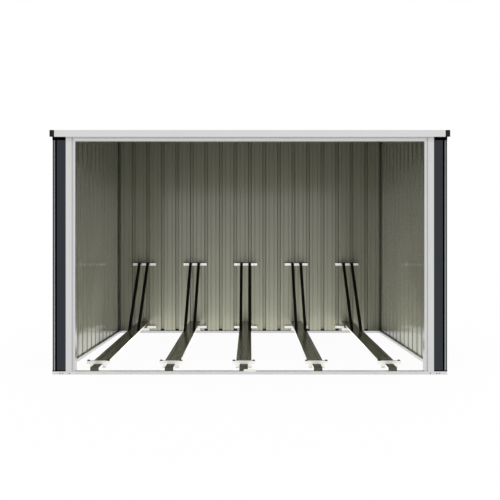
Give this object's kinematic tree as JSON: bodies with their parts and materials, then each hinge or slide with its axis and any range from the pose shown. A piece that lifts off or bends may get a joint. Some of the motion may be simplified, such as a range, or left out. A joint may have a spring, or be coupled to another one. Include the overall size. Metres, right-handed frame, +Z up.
{
  "type": "bike shelter",
  "caption": "Open-fronted bicycle shelter with ribbed metal walls, a sloping roof, a pale front frame and a row of inclined wheel rails with paired wheel guides.",
  "frame": {"origin": "middle of the plan, on the ground", "axes": "+Z up, -Y towards the open front, +X to the right seen from the front"},
  "size_m": [2.5382, 2.1446, 1.8564],
  "materials": {
    "ribbed_sheet": "satin coil coat",
    "dark_trim": "satin powder coat",
    "aluminium": "satin",
    "zinc": "galvanised",
    "rail_coat": "semi gloss",
    "guide_coat": "satin",
    "black_cap": "moulded"
  },
  "bodies": {
    "root": {"base_sill": "aluminium", "base_left": "aluminium", "base_right": "aluminium", "base_back": "aluminium", "post_left": "aluminium", "post_right": "aluminium", "lintel": "aluminium", "gutter": "aluminium", "verge_left": "aluminium", "verge_right": "aluminium", "rear_edge": "aluminium", "left_wall": "ribbed_sheet", "right_wall": "ribbed_sheet", "back_wall": "ribbed_sheet", "roof_sheets": "ribbed_sheet", "front_corner_left": "dark_trim", "front_corner_right": "dark_trim", "rear_corner_left": "dark_trim", "rear_corner_right": "dark_trim", "corner_liner_left": "black_cap", "corner_liner_right": "black_cap", "cap_front_left": "black_cap", "cap_front_right": "black_cap", "cap_rear_left": "black_cap", "cap_rear_right": "black_cap", "sill_keeper": "zinc", "rack_1_rail": "rail_coat", "rack_1_guides": "guide_coat", "rack_1_stop": "zinc", "rack_1_brackets": "zinc", "rack_2_rail": "rail_coat", "rack_2_guides": "guide_coat", "rack_2_stop": "zinc", "rack_2_brackets": "zinc", "rack_3_rail": "rail_coat", "rack_3_guides": "guide_coat", "rack_3_stop": "zinc", "rack_3_brackets": "zinc", "rack_4_rail": "rail_coat", "rack_4_guides": "guide_coat", "rack_4_stop": "zinc", "rack_4_brackets": "zinc", "rack_5_rail": "rail_coat", "rack_5_guides": "guide_coat", "rack_5_stop": "zinc", "rack_5_brackets": "zinc"}
  },
  "joints": []
}
